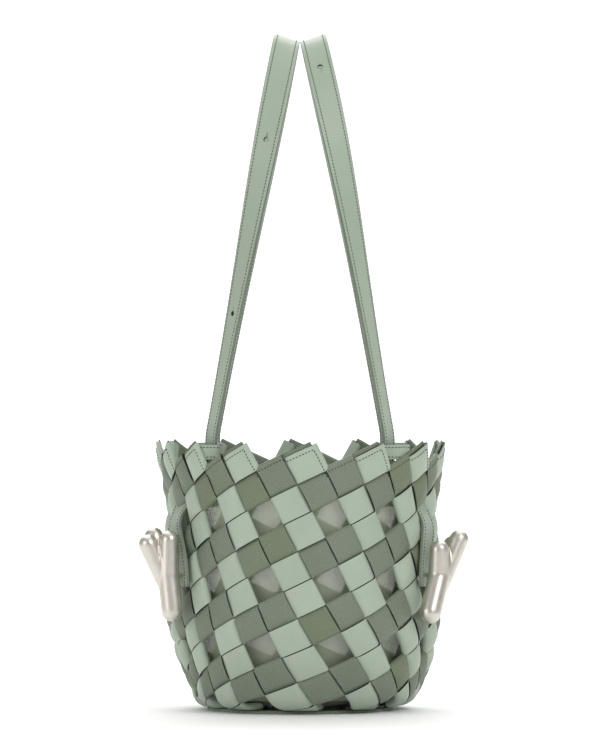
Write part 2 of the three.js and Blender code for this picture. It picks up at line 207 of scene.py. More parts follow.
# Bends of the wall, measured up it: upright down to TAPER_START, then a bend to TAPER_LEAN, a straight
# run, and a bend until it lies flat under the bag.
TAPER_END = TAPER_START - TAPER_BEND_RADIUS * TAPER_LEAN
HEIGHT_AT_TAPER_END = TAPER_START - TAPER_BEND_RADIUS * math.sin(TAPER_LEAN)
HEIGHT_AT_BOTTOM_BEND = LOWEST + BOTTOM_BEND_RADIUS * (1 - math.sin(TAPER_LEAN))
STRAIGHT_TAPER = (HEIGHT_AT_TAPER_END - HEIGHT_AT_BOTTOM_BEND) / math.cos(TAPER_LEAN)
BOTTOM_BEND_START = TAPER_END - STRAIGHT_TAPER
FLAT_START = BOTTOM_BEND_START - BOTTOM_BEND_RADIUS * (math.pi / 2 - TAPER_LEAN)
WEAVE_END_RISE = FLAT_START - STRIP_OVER_BASE


def wall_profile(rise):
    """Half width, inset, height and lean of the wall at a distance `rise` up it."""
    flare = smoothstep(rise, FLARE_START, 2 * FLARE_END - FLARE_START)
    half_width = WALL_HALF_WIDTH + 2 * (RIM_HALF_WIDTH - WALL_HALF_WIDTH) * flare
    if rise >= TAPER_START:
        return half_width, 0.0, rise, 0.0
    taper_bend = min((TAPER_START - rise) / TAPER_BEND_RADIUS, TAPER_LEAN)
    straight = clamp(TAPER_END - rise, 0, STRAIGHT_TAPER)
    bottom_bend = clamp((BOTTOM_BEND_START - rise) / BOTTOM_BEND_RADIUS, 0, math.pi / 2 - TAPER_LEAN)
    lean = taper_bend + bottom_bend
    inset = TAPER_BEND_RADIUS * (1 - math.cos(taper_bend)) + straight * math.sin(TAPER_LEAN)
    inset += BOTTOM_BEND_RADIUS * (math.cos(taper_bend) - math.cos(lean)) + max(FLAT_START - rise, 0)
    height = TAPER_START - TAPER_BEND_RADIUS * math.sin(taper_bend) - straight * math.cos(TAPER_LEAN)
    height -= BOTTOM_BEND_RADIUS * (math.sin(lean) - math.sin(taper_bend))
    return half_width, inset, height, lean


def normal_at(angle, lean=0.0):
    flat = Vector((math.sin(angle) * DEPTH_RATIO, -math.cos(angle), 0)).normalized()
    return flat * math.cos(lean) + Vector((0, 0, -math.sin(lean)))


def point_at(angle, rise, offset=0.0):
    half_width, inset, height, lean = wall_profile(rise)
    x = (half_width - inset) * math.sin(angle)
    y = -(half_width * DEPTH_RATIO - inset) * math.cos(angle)
    return Vector((x, y, height)) + normal_at(angle, lean) * offset


def wall_normal(turn):
    return normal_at(wall_angle(turn))


def wall_point(turn, rise, offset=0.0):
    return point_at(wall_angle(turn), rise, offset)


def cell_turn(across, down):
    return CELL_ORIGIN_TURN + 0.4 * across + 0.2 * down


def cell_rise(across, down):
    return CELL_ORIGIN_HEIGHT + PERIOD_HEIGHT * (0.2 * across - 0.4 * down)


def weave_angle(across, down):
    """Angle of a place in the weave, which drifts a little round the bag's left half."""
    angle = wall_angle(cell_turn(across, down))
    return angle + LEFT_DRIFT * max(-math.sin(angle), 0.0) ** 2.4


def spread_at(rise):
    """How much the strips keep apart in front and crowd at the sides, towards the base."""
    return BOTTOM_SPREAD * clamp((SPREAD_START - rise) / (SPREAD_START - SPREAD_DONE), 0, 1.1) ** 2


def side_tuck(angle, rise):
    """How far the puffed strips sit in at the sides. The bag leans a little to the right."""
    lean = lerp(LEAN_AT_BOTTOM, LEAN_HIGHER_UP, smoothstep(rise, 25 * MM, 110 * MM))
    side = math.sin(angle)
    tuck = (SIDE_TUCK - math.copysign(lean, side)) * abs(side) ** 3
    tuck *= smoothstep(rise, FLAT_START, BOTTOM_BEND_START)
    return tuck * lerp(1, 0.45, smoothstep(rise, FLARE_START, FLARE_END))


def on_weave(across, down, offset):
    """A point of the slanted weave. `across` counts cells along the light strips, `down` along the dark."""
    angle = weave_angle(across, down)
    rise = cell_rise(across, down)
    angle += spread_at(rise) * math.sin(2 * angle)
    return point_at(angle, rise, offset - side_tuck(angle, rise))


def cell_exists(across, down):
    below_rim = down >= math.ceil(across / 2) - 4
    return below_rim and cell_rise(across, down) >= WEAVE_END_RISE


def cell_type(across, down):
    return (across - 2 * down) % TYPES_IN_CYCLE


# ---- Meshes ----

def add_object(name, data):
    made = bpy.data.objects.new(name, data)
    bpy.context.scene.collection.objects.link(made)
    return made


class Shape:
    """Gathers lofted pieces into one mesh, whose points keep their lay, cut edge and tone."""

    def __init__(self):
        self.points = []
        self.faces = []
        self.face_materials = []
        self.lay = []
        self.edge = []
        self.tone = []

    def add_loft(self, rings, lays, edges, tone=0.5, material=0, closed=False, capped=True):
        """A tube through rings of points. A lay is a point's place along and across the leather,
        and how covered it is, from 0 to 1, which sets how much painted shade it gets."""
        first = len(self.points)
        count = len(rings[0])
        for ring, lay in zip(rings, lays):
            self.points.extend(ring)
            self.lay.extend(lay)
            self.edge.extend(edges)
        self.tone.extend([tone] * (len(rings) * count))
        start = len(self.faces)
        steps = len(rings) if closed else len(rings) - 1
        for step in range(steps):
            here = first + step * count
            there = first + (step + 1) % len(rings) * count
            for side in range(count):
                after = (side + 1) % count
                self.faces.append((here + side, here + after, there + after, there + side))
        if capped and not closed:
            last = first + (len(rings) - 1) * count
            self.faces.append(tuple(reversed(range(first, first + count))))
            self.faces.append(tuple(range(last, last + count)))
        self.face_materials.extend([material] * (len(self.faces) - start))

    def to_object(self, name, materials):
        mesh = bpy.data.meshes.new(name)
        mesh.from_pydata(self.points, [], self.faces)
        mesh.polygons.foreach_set("material_index", self.face_materials)
        mesh.polygons.foreach_set("use_smooth", [True] * len(mesh.polygons))
        lay = mesh.attributes.new("lay", "FLOAT_VECTOR", "POINT")
        lay.data.foreach_set("vector", [value for lay in self.lay for value in lay])
        for label, values in (("edge", self.edge), ("tone", self.tone)):
            mesh.attributes.new(label, "FLOAT", "POINT").data.foreach_set("value", values)
        for material in materials:
            mesh.materials.append(material)
        piece = add_object(name, mesh)
        turn_faces_outward(piece)
        return piece


def turn_faces_outward(piece):
    work = bmesh.new()
    work.from_mesh(piece.data)
    bmesh.ops.recalc_face_normals(work, faces=work.faces)
    work.to_mesh(piece.data)
    work.free()


def band_section(width, thickness, rounding, face_steps=6):
    """Points round a leather band's section as (across, height, edge), from the left end of its face."""
    half = width / 2 - rounding
    top = thickness / 2
    face = [(lerp(-half, half, step / face_steps), top, 0.0) for step in range(face_steps + 1)]
    right = [(half + rounding * out, top - rounding * down, 0.5 + 0.5 * out) for out, down in BAND_CORNER]
    upper = [(-across, height, edge) for across, height, edge in reversed(right)] + face + right
    lower = [(across, -height, edge) for across, height, edge in reversed(upper)]
    first = len(BAND_CORNER)
    return upper[first:] + lower + upper[:first]


def add_stitch(shape, start, end, outward):
    """A short thread whose middle stands out and whose ends dip into the leather."""
    run = end - start
    side = run.cross(outward).normalized()
    rings = []
    for share, thick, lift in STITCH_PROFILE:
        centre = start + run * share + outward * (STITCH_RADIUS * lift)
        rings.append([
            centre + (side * math.cos(angle) + outward * math.sin(angle)) * (STITCH_RADIUS * thick)
            for angle in (step * math.pi / 3 for step in range(6))])
    lays = [[(share, 0.0, 0.0)] * 6 for share in range(len(rings))]
    shape.add_loft(rings, lays, [0.0] * 6)


def stitch_along(shape, points):
    """Stitches at even distances along a run of (point, outward) pairs."""
    distances = distances_along(points)
    count = round(distances[-1] / STITCH_PITCH)
    pitch = distances[-1] / count
    for number in range(count):
        begin = (number + STITCH_LEAD) * pitch
        start, outward = run_at(points, distances, begin)
        end, _ = run_at(points, distances, begin + STITCH_LENGTH)
        add_stitch(shape, start, end, outward.normalized())


# ---- Woven strips ----

class Strip:
    """One run of leather through the weave: its first cell, its number of cells and where it is on top."""

    def __init__(self, start, dark):
        self.start = start
        self.dark = dark
        self.step = (0, 1) if dark else (1, 0)
        self.count = 1
        while is_woven(*self.cell(self.count)):
            self.count += 1
        over_types = (DARK_BELOW, DARK_FIRST) if dark else (LIGHT_FIRST, LIGHT_LAST)
        self.over = [cell_type(*self.cell(number)) in over_types for number in range(self.count)]
        self.start_fold = self.fold_at(-1, self.over[0])
        self.end_fold = self.fold_at(self.count, self.over[-1])

    def cell(self, number):
        return self.start[0] + self.step[0] * number, self.start[1] + self.step[1] * number

    def grid(self, along, sideways=0.0):
        if self.dark:
            return self.start[0] + sideways, self.start[1] - 0.5 + along
        return self.start[0] - 0.5 + along, self.start[1] + sideways

    def sideness(self, along):
        return abs(math.sin(weave_angle(*self.grid(along))))

    def fold_at(self, beyond, is_over):
        """How the end beside cell `beyond` turns in, as (reach, depth, overhang, flare), or None."""
        neighbour = self.cell(beyond)
        if not is_over or cell_rise(*neighbour) < WEAVE_END_RISE:
            return None
        if not cell_exists(*neighbour):
            return RIM_FOLD, THIN_FOLD_DEPTH, RIM_OVERHANG, HEM_FLARE
        side = self.sideness(beyond + 0.5) ** 2
        reach = lerp(FOLD_IN_FRONT, FOLD_AT_SIDES, side)
        depth = lerp(THIN_FOLD_DEPTH, THICK_FOLD_DEPTH, side)
        overhang = lerp(FOLD_OVERHANG_IN_FRONT, FOLD_OVERHANG_AT_SIDES, side)
        return reach, depth, overhang, 0.0

    def number_at(self, along):
        return clamp(int(along), 0, self.count - 1)

    def over_share(self, along):
        """From 0 where the strip lies under its neighbours to 1 where it lies over them."""
        number = self.number_at(along)
        if not self.over[number]:
            return 0.0
        share = 1.0
        if number > 0 and not self.over[number - 1]:
            share = smoothstep(along, number, number + DIP_SHARE)
        if number < self.count - 1 and not self.over[number + 1]:
            share = min(share, 1 - smoothstep(along, number + 1 - DIP_SHARE, number + 1))
        return share

    def swell(self, along):
        """Puff of a cell that lies on top, from 0 at its ends to 1 in its middle."""
        number = self.number_at(along)
        return math.sin(math.pi * clamp(along - number, 0.0, 1.0)) if self.over[number] else 0.0

    def half_width(self, along):
        share = DARK_SHARE if self.dark else LIGHT_SHARE
        pinch = DARK_PINCH if self.dark else 0.0
        return share / 2 * (1 - pinch * self.swell(along))

    def flare(self, along):
        """How far a stitched hem at the rim leans outwards."""
        out = 0.0
        if self.start_fold:
            out = self.start_fold[3] * (1 - smoothstep(along, 0, HEM_SHARE))
        if self.end_fold:
            out = max(out, self.end_fold[3] * smoothstep(along, self.count - HEM_SHARE, self.count))
        return out

    def height(self, along):
        return LAY_HEIGHT * (2 * self.over_share(along) - 1) + self.flare(along)

    def bulge(self, along, side):
        """Crown across the strip and puff of its cell, at a place from -1 to 1 across it."""
        if abs(side) >= 1:
            return 0.0
        puff = lerp(PUFF_IN_FRONT, PUFF_AT_SIDES, self.sideness(along) ** 2)
        puff *= smoothstep(cell_rise(*self.grid(along)), FLAT_START, TAPER_END)
        crown = STRIP_CROWN * (1 - side * side)
        return crown + puff * self.swell(along) * math.cos(side * math.pi / 2) ** PUFF_SQUARENESS

    def samples(self):
        """(along, height, facing) at places along the strip. Facing is where its outer side points."""
        first, last = -CUT_OVERHANG * (not self.start_fold), self.count
        if self.start_fold:
            first = (self.start_fold[0] - self.start_fold[2]) / CELL_LENGTH
        if self.end_fold:
            last = self.count - (self.end_fold[0] - self.end_fold[2]) / CELL_LENGTH
        steps = self.count * STEPS_PER_CELL
        places = [lerp(first, last, step / steps) for step in range(steps + 1)]
        samples = [(place, self.height(place), (0.0, 1.0)) for place in places]
        if self.start_fold:
            samples = folded_end(self.start_fold, -1, *samples[0][:2]) + samples
        if self.end_fold:
            samples = samples + folded_end(self.end_fold, 1, *samples[-1][:2])[::-1]
        return samples

    def tone(self):
        """From 0 to 1, to set one strip's colour apart from its neighbours'."""
        mixed = self.start[0] * 12.9898 + self.start[1] * 78.233 + self.dark * 3.7
        return math.sin(mixed) * 43758.5453 % 1.0


def is_woven(across, down):
    return cell_exists(across, down) and cell_type(across, down) != WINDOW


def folded_end(fold, sign, at, height):
    """A strip's end, from its flap on the inside round to where the strip comes out at `at`."""
    reach, depth, _, _ = fold
    flap_ends = at - sign * FLAP_LENGTH / CELL_LENGTH
    flap = [(lerp(flap_ends, at, step / 3), height - depth, (0.0, -1.0)) for step in range(3)]
    turn = []
    for step in range(8):
        angle = -math.pi / 2 + math.pi * step / 8
        along = at + sign * reach * math.cos(angle) / CELL_LENGTH
        facing = (sign * math.cos(angle), math.sin(angle))
        turn.append((along, height - depth / 2 + depth / 2 * math.sin(angle), facing))
    return flap + turn


def strip_starts(dark):
    """Each strip's period and first cell, for one way of the weave."""
    step = (0, 1) if dark else (1, 0)
    for period in range(PERIODS):
        for across in (2 * period - 1, 2 * period):
            for down in range(period - 4, period + 8):
                if is_woven(across, down) and not is_woven(across - step[0], down - step[1]):
                    yield period, (across, down)


def add_strip(shape, strip):
    section = band_section(2.0, 1.0, 0.045)
    rings = []
    lays = []
    travelled = 0.0
    previous = None
    for along, height, facing in strip.samples():
        if previous:
            travelled += math.hypot((along - previous[0]) * CELL_LENGTH, height - previous[1])
        previous = (along, height)
        half_width = strip.half_width(along)
        # Painted shade: marks where the strip lies under its neighbours, to be coloured darker there.
        under_shade_mask = 1 - smoothstep(strip.over_share(along), 0.0, 0.08)
        inner = 0.1 < along < strip.count - 0.1
        ring = []
        lay = []
        for side, level, _ in section:
            lift = STRIP_THICKNESS * level
            bulge = strip.bulge(along, side) * max(facing[1], 0.0)
            position = strip.grid(along + lift * facing[0] / CELL_LENGTH, side * half_width)
            ring.append(on_weave(*position, height + lift * facing[1] + bulge))
            lay.append((travelled, side * half_width * CELL_LENGTH, under_shade_mask * inner * (level > 0)))
        rings.append(ring)
        lays.append(lay)
    shape.add_loft(rings, lays, [edge for _, _, edge in section], strip.tone(), int(strip.dark))


def surface_point(strip, along, side):
    """A point on the outside of a strip that lies on top."""
    height = strip.height(along) + strip.bulge(along, side) + STRIP_THICKNESS / 2
    return on_weave(*strip.grid(along, side * strip.half_width(along)), height)


def rim_stitch_line(period):
    """The stitched line of one tooth of the rim: up its long edge, down its short one, into the weave."""
    hem = Strip((2 * period - 1, period - 4), True)
    light = Strip((2 * period - 3, period - 4), False)
    below = Strip((2 * period, period - 4), True)
    inset = (RIM_STITCH_INSET - RIM_OVERHANG) / CELL_LENGTH
    top_side = RIM_STITCH_INSET / CELL_LENGTH * 2 - 1
    corner = light.count - inset
    below_side = (corner - light.count + 0.5) / below.half_width(1)
    steps = [step / 12 for step in range(13)]
    line = [surface_point(hem, inset, lerp(-0.94, 0.98, step)) for step in steps]
    line += [surface_point(light, lerp(light.count - 0.97, corner, step), top_side) for step in steps]
    line += [surface_point(light, corner, lerp(top_side, 0.97, step)) for step in steps[1:]]
    line += [surface_point(below, lerp(1.02, 1.24, step), below_side) for step in steps[::3]]
    return [(point, normal_at(math.atan2(point.x, -point.y))) for point in line]


def build_rim_stitches(thread):
    stitches = Shape()
    for period in range(PERIODS):
        stitch_along(stitches, rim_stitch_line(period))
    piece = stitches.to_object("rim_stitches", [thread])
    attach(piece, "bag")


def build_weave(light_leather, dark_leather):
    shapes = [Shape() for _ in range(PERIODS)]
    for dark in (False, True):
        for period, start in strip_starts(dark):
            add_strip(shapes[period], Strip(start, dark))
    for period, shape in enumerate(shapes):
        piece = shape.to_object(f"woven_strips_{period + 1:02d}", [light_leather, dark_leather])
        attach(piece, "bag")
        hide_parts(f"weave_panel_{period + 1:02d}")


# ---- Straps ----

KEEPER_PLACE = wall_point(-KEEPER_TURN, KEEPER_TOP, KEEPER_OFFSET)
STRAP_FOOT = Vector((KEEPER_PLACE.x, 0, KEEPER_TOP + 5 * MM))
STRAP_LEG_HALF_SPAN = -KEEPER_PLACE.y
SIDES = {
    "left": {"exit_turn": -2.4, "post_turn": -2.06, "bow": 0.5 * MM},
    "right": {"exit_turn": 2.465, "post_turn": 2.28, "bow": 2.5 * MM},
}


def strap_line(along, bow=0.0):
    """Left strap's centre line, from front foot (-1) to back foot (1). `bow` curves its legs out."""
    rise = STRAP_TOP - STRAP_FOOT
    lean = math.atan2(rise.x, rise.z)
    sweep = abs(along) * math.pi / 2
    up = rise.length * math.cos(sweep) ** (2 / ARCH_ROUNDNESS)
    side = math.copysign(STRAP_LEG_HALF_SPAN * math.sin(sweep) ** (2 / ARCH_ROUNDNESS), along)
    out = -bow * math.sin(math.pi * (up / rise.length) ** 1.5)
    return Matrix.Rotation(lean, 3, "Y") @ Vector((out, side, up)) + STRAP_FOOT


def strap_across(along):
    step = 1e-3
    tangent = (strap_line(min(along + step, 1)) - strap_line(max(along - step, -1))).normalized()
    height = math.cos(abs(along) * math.pi / 2) ** (2 / ARCH_ROUNDNESS)
    twist = math.radians(lerp(STRAP_TWIST_AT_FOOT, STRAP_TWIST_AT_TOP, height ** 2))
    flat = Vector((1, 0, 0))
    flat = (flat - tangent * flat.dot(tangent)).normalized()
    return flat * math.cos(twist) + flat.cross(tangent) * math.sin(twist)


def strap_arch(bow):
    steps = 400
    places = [lerp(-1, 1, step / steps) for step in range(steps + 1)]
    places = [math.copysign(abs(place) ** 1.15 * 0.9995, place) for place in places]
    return [(strap_line(place, bow), strap_across(place)) for place in places]


def tail_run(exit_turn, post_turn):
    """(centre, across) pairs of the strap from its free end up to its front keeper."""
    mirror = math.copysign(1, post_turn)
    inside = -5.4 * MM
    outside = 3.6 * MM
    off_keeper = 154 * MM
    window_low, window_high = 136 * MM, 158 * MM
    towards_post = 150 * MM
    start_rise = KEEPER_TOP - 1 * MM
    end_rise = POST_HEIGHT - TAIL_BELOW_POST
    run = []
    for row in range(61):
        rise = lerp(end_rise, start_rise, row / 60)
        left_keeper = 1 - smoothstep(rise, off_keeper, start_rise - 12 * MM)
        gone_out = 1 - smoothstep(rise, window_low, window_high)
        gone_down = 1 - smoothstep(rise, POST_HEIGHT, towards_post)
        turn_above = lerp(mirror * KEEPER_TURN, exit_turn, left_keeper)
        offset_above = lerp(KEEPER_OFFSET, inside, left_keeper)
        turn = lerp(turn_above, post_turn, gone_down)
        centre = wall_point(turn, rise, lerp(offset_above, outside, gone_out))
        run.append((centre, wall_normal(turn)))
    return with_width(run)


def back_end_run():
    start_rise = KEEPER_TOP - 1 * MM
    end_rise = start_rise - BACK_END_LENGTH
    turn = PERIODS / 2 + KEEPER_TURN
    run = []
    for row in range(25):
        rise = lerp(start_rise, end_rise, row / 24)
        on_wall = 1 - smoothstep(rise, end_rise + 12 * MM, start_rise - 12 * MM)
        offset = lerp(KEEPER_OFFSET, -4.5 * MM, on_wall)
        run.append((wall_point(turn, rise, offset), wall_normal(turn)))
    return with_width(run)


def with_width(run):
    """Turns (centre, outward) pairs into (centre, across) pairs."""
    result = []
    for place, (centre, outward) in enumerate(run):
        before = run[max(place - 1, 0)][0]
        after = run[min(place + 1, len(run) - 1)][0]
        result.append((centre, (after - before).cross(outward).normalized()))
    return result


def turned(run, in_keeper, at_post=0.0):
    """Turns a run's width, to meet the strap's foot at the keeper and to swing away at the post."""
    result = []
    for centre, across in run:
        near_keeper = smoothstep(centre.z, KEEPER_TOP - 36 * MM, KEEPER_TOP - 12 * MM)
        near_post = 1 - smoothstep(centre.z, POST_HEIGHT + 5 * MM, POST_HEIGHT + 35 * MM)
        angle = in_keeper * near_keeper + at_post * near_post
        result.append((centre, Matrix.Rotation(angle, 3, "Z") @ across))
    return result


def mirrored(run):
    flip = Matrix.Diagonal((-1, 1, 1))
    return [(flip @ centre, flip @ across) for centre, across in run]


def even_run(run, step):
    """The same run at even distances, smoothed."""
    distances = distances_along(run)
    count = round(distances[-1] / step)
    stops = [distances[-1] * number / count for number in range(count + 1)]
    return smoothed([run_at(run, distances, stop) for stop in stops], 6)


def smoothed(run, rounds):
    for _ in range(rounds):
        inner = [
            ((before[0] + here[0] * 2 + after[0]) / 4, (before[1] + here[1] * 2 + after[1]) / 4)
            for before, here, after in zip(run, run[1:], run[2:])]
        run = [run[0], *inner, run[-1]]
    return run


def framed(run):
    """(centre, across, outward) for each place, with across square to the run."""
    frames = []
    for place, (centre, across) in enumerate(run):
        tangent = (run[min(place + 1, len(run) - 1)][0] - run[max(place - 1, 0)][0]).normalized()
        across = (across - tangent * across.dot(tangent)).normalized()
        frames.append((centre, across, across.cross(tangent)))
    return frames


def whole_strap(side):
    """Frames of one whole strap, from its front tail's free end to its back end."""
    tail = tail_run(SIDES[side]["exit_turn"], SIDES[side]["post_turn"])
    if side == "right":
        tail = [(centre, -across) for centre, across in mirrored(tail)]
    tail = turned(tail, -TURN_IN_KEEPER, -TURN_AT_POST)
    back_end = turned(back_end_run(), TURN_IN_KEEPER)
    run = even_run(tail + strap_arch(SIDES[side]["bow"]) + back_end, PATH_STEP)
    if side == "right":
        run = mirrored(run)
    frames = framed(run)
    if side == "right":
        frames = [(centre, across, -outward) for centre, across, outward in frames]
    return frames


def strap_section():
    """Two layers of leather with a fine line between them along each edge."""
    section = band_section(STRAP_WIDTH, STRAP_THICKNESS, 0.35 * MM, face_steps=10)
    line = 0.25 * MM
    result = []
    for point, after in zip(section, section[1:] + section[:1]):
        result.append(point)
        if point[1] * after[1] < 0:
            across = math.copysign(STRAP_WIDTH / 2 - line, point[0])
            result.append((across, 0.0, 1.0))
    return result


def add_band(shape, frames, section, closed=False):
    rings = []
    lays = []
    travelled = 0.0
    for place, (centre, across, outward) in enumerate(frames):
        if place:
            travelled += (centre - frames[place - 1][0]).length
        rings.append([centre + across * sideways + outward * height for sideways, height, _ in section])
        lays.append([(travelled, sideways, 0.0) for sideways, _, _ in section])
    shape.add_loft(rings, lays, [edge for _, _, edge in section], closed=closed)


def add_stitch_line(shape, frames, sideways, height, closed=False):
    """Stitches on one face of a band, at a distance sideways from its middle."""
    facing = math.copysign(1, height)
    points = [(centre + across * sideways + outward * height, outward * facing)
              for centre, across, outward in frames]
    stitch_along(shape, points + points[:1] if closed else points)


def keyhole_cutter(centre, along, outward):
    """A prism through the strap: a round hole with a fine slit towards `along`."""
    across = along.cross(outward)
    half_slit = 0.12 * MM
    start = math.asin(half_slit / KEYHOLE_RADIUS)
    turns = [lerp(start, 2 * math.pi - start, step / 20) for step in range(21)]
    outline = [along * math.cos(turn) * KEYHOLE_RADIUS + across * math.sin(turn) * KEYHOLE_RADIUS
               for turn in turns]
    outline += [along * KEYHOLE_SLIT - across * half_slit, along * KEYHOLE_SLIT + across * half_slit]
    rings = [[centre + point + outward * level for point in outline] for level in (-3 * MM, 3 * MM)]
    cutter = Shape()
    cutter.add_loft(rings, [[(0.0, 0.0, 0.0)] * len(outline)] * 2, [1.0] * len(outline), material=1)
    return cutter


def keyhole_places(frames, side):
    """(centre, slit direction, outward) of a strap's keyholes: two on one leg, and one on the other."""
    adjustable = -1 if side == "left" else 1
    wanted = [(height, adjustable, 1) for height in KEYHOLE_HEIGHTS]
    wanted.append((KEYHOLE_BEHIND_TOP, -adjustable, -1))
    for height, leg, slit in wanted:
        on_leg = [spot for spot in frames if spot[0].y * leg > 0 and spot[0].z > STRAP_FOOT.z]
        centre, across, outward = min(on_leg, key=lambda spot: abs(spot[0].z - STRAP_FOOT.z - height))
        upward = across.cross(outward)
        yield centre, upward * (slit * math.copysign(1, upward.z)), outward


def cut_keyholes(piece, frames, side):
    cutters = [keyhole_cutter(*place).to_object("cutter", []) for place in keyhole_places(frames, side)]
    for cutter in cutters:
        cut = piece.modifiers.new("keyhole", "BOOLEAN")
        cut.operation = "DIFFERENCE"
        cut.solver = "EXACT"
        cut.object = cutter
    keep_modifiers_result(piece)
    for cutter in cutters:
        bpy.data.objects.remove(cutter)


def build_strap(side, leather, hole_edge, thread):
    frames = whole_strap(side)
    strap = Shape()
    add_band(strap, frames, strap_section())
    stitches = Shape()
    for sideways in (STRAP_WIDTH / 2 - STRAP_STITCH_INSET, STRAP_STITCH_INSET - STRAP_WIDTH / 2):
        for height in (STRAP_THICKNESS / 2, -STRAP_THICKNESS / 2):
            add_stitch_line(stitches, frames, sideways, height)
    leather_piece = strap.to_object(f"{side}_strap_leather", [leather, hole_edge])
    cut_keyholes(leather_piece, frames, side)
    thread_piece = stitches.to_object(f"{side}_strap_stitches", [thread])
    for piece in (leather_piece, thread_piece):
        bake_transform(piece)
    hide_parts(*[f"{side}_strap{part}" for part in ("", "_lining", "_tail", "_back_end")])


def keeper_corners():
    """Corners in plan of the left front keeper: along the wall, and back round the strap."""
    twist = math.radians(STRAP_TWIST_AT_FOOT)
    across = Vector((math.cos(twist), -math.sin(twist), 0))
    inward = Vector((math.sin(twist), math.cos(twist), 0))
    wall = [point_at(math.radians(angle), KEEPER_TOP, -3.6 * MM) for angle in (-51.5, -47.5, -43.5)]
    past_strap = KEEPER_PLACE + across * 13 * MM + inward * 2 * MM
    before_strap = KEEPER_PLACE - across * 12 * MM + inward * 3 * MM
    return [Vector((corner.x, corner.y, 0)) for corner in (*wall, past_strap, before_strap)]


def rounded_loop(corners, radius):
    """(place, outward) pairs round a closed outline with rounded corners, anticlockwise from above."""
    loop = []
    for number, corner in enumerate(corners):
        before = corners[number - 1] - corner
        after = corners[(number + 1) % len(corners)] - corner
        reach = min(radius, before.length * 0.45, after.length * 0.45)
        start = corner + before.normalized() * reach
        end = corner + after.normalized() * reach
        for step in range(7):
            share = step / 6
            loop.append(start * (1 - share) ** 2 + corner * (2 * share * (1 - share)) + end * share ** 2)
    result = []
    for number, place in enumerate(loop):
        tangent = (loop[(number + 1) % len(loop)] - loop[number - 1]).normalized()
        result.append((place, tangent.cross(Vector((0, 0, 1)))))
    return result


def keeper_frames(side_sign, end):
    flip = Matrix.Diagonal((side_sign, end, 1))
    middle = Vector((0, 0, KEEPER_TOP - KEEPER_HEIGHT / 2))
    return [(flip @ place + middle, Vector((0, 0, 1)), flip @ outward)
            for place, outward in rounded_loop(keeper_corners(), 4.5 * MM)]


def build_keepers(leather, thread):
    for side, side_sign in (("left", 1), ("right", -1)):
        for end_name, end in (("front", 1), ("back", -1)):
            frames = keeper_frames(side_sign, end)
            band = Shape()
            add_band(band, frames, band_section(KEEPER_HEIGHT, KEEPER_WALL, 0.35 * MM), closed=True)
            stitches = Shape()
            for sideways in (KEEPER_HEIGHT / 2 - 2 * MM, 2 * MM - KEEPER_HEIGHT / 2):
                add_stitch_line(stitches, frames, sideways, KEEPER_WALL / 2, closed=True)
            piece = band.to_object(f"{side}_{end_name}_keeper_leather", [leather])
            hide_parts(f"{side}_{end_name}_keeper")
            threads = stitches.to_object(f"{side}_{end_name}_keeper_stitches", [thread])
            for part in (piece, threads):
                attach(part, "bag")


# ---- Toggles ----

def add_rod(shape, start, end, start_radius, end_radius):
    """A rod with round ends, whose thickness may change along it."""
    axis = (end - start).normalized()
    side = axis.orthogonal().normalized()
    other = axis.cross(side)
    stops = []
    for step in range(1, 7):
        angle = math.pi / 2 * step / 6
        stops.append((start - axis * (start_radius * math.cos(angle)), start_radius * math.sin(angle)))
    for step in range(6):
        angle = math.pi / 2 * step / 6
        stops.append((end + axis * (end_radius * math.sin(angle)), end_radius * math.cos(angle)))
    turns = circle(24)
    rings = [[centre + (side * math.cos(turn) + other * math.sin(turn)) * radius for turn in turns]
             for centre, radius in stops]
    lays = [[(0.0, 0.0, 0.0)] * len(turns) for _ in rings]
    shape.add_loft(rings, lays, [0.0] * len(turns))


# Ends of the stem and the side fingers in millimetres, as (away from the front, up, out of the wall).
TOGGLE_SHAPES = {
    "left": {"foot": (-3.5, -25.5, 0), "top": (-0.3, 26.5, 0.6),
             "fingers": [(8.5, 23.5, 13), (17, 28.5, 2.4)]},
    "right": {"foot": (-12, -27, 0), "top": (-1, 19, 1.6),
              "fingers": [(16, 26.5, 9), (20.5, 22, 1.4)]},
}


def toggle_rods(side):
    turn = SIDES[side]["post_turn"]
    outward = wall_normal(turn)
    away = Vector((-outward.y, outward.x, 0)).normalized() * math.copysign(1, turn)
    centre = wall_point(turn, POST_HEIGHT, TOGGLE_STAND_OFF)

    def place(sideways, height, out):
        return centre + away * (sideways * MM) + Vector((0, 0, height * MM)) + outward * (out * MM)

    ends = TOGGLE_SHAPES[side]
    middle = place(0, 0, 0.8)
    shape = Shape()
    add_rod(shape, place(*ends["foot"]), middle, STEM_RADIUS, STEM_RADIUS)
    add_rod(shape, middle, place(*ends["top"]), STEM_RADIUS, STEM_RADIUS * 0.9)
    for tip in ends["fingers"]:
        add_rod(shape, place(1, -9, 1.5), place(*tip), SIDE_FINGER_RADIUS * 0.8, SIDE_FINGER_RADIUS)
    return shape


def build_toggle(side, metal):
    piece = toggle_rods(side).to_object(f"{side}_toggle_metal", [metal])
    remesh = piece.modifiers.new("remesh", "REMESH")
    remesh.mode = "VOXEL"
    remesh.voxel_size = TOGGLE_VOXEL
    remesh.use_smooth_shade = True
    smooth = piece.modifiers.new("smooth", "SMOOTH")
    smooth.iterations = TOGGLE_SMOOTHING_ROUNDS
    smooth.factor = 0.5
    keep_modifiers_result(piece)
    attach(piece, f"{side}_toggle")
    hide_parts(f"{side}_toggle")


def keep_modifiers_result(piece):
    """Turns the modifiers' result into the piece's own mesh."""
    seen = piece.evaluated_get(bpy.context.evaluated_depsgraph_get())
    mesh = bpy.data.meshes.new_from_object(seen)
    piece.modifiers.clear()
    piece.data = mesh


# ---- Base and pouch ----

def oval_ring(half_width, height):
    half_depth = WALL_HALF_WIDTH * DEPTH_RATIO - (WALL_HALF_WIDTH - half_width)
    return [Vector((half_width * math.cos(angle), half_depth * math.sin(angle), height))
            for angle in circle(OVAL_POINTS)]


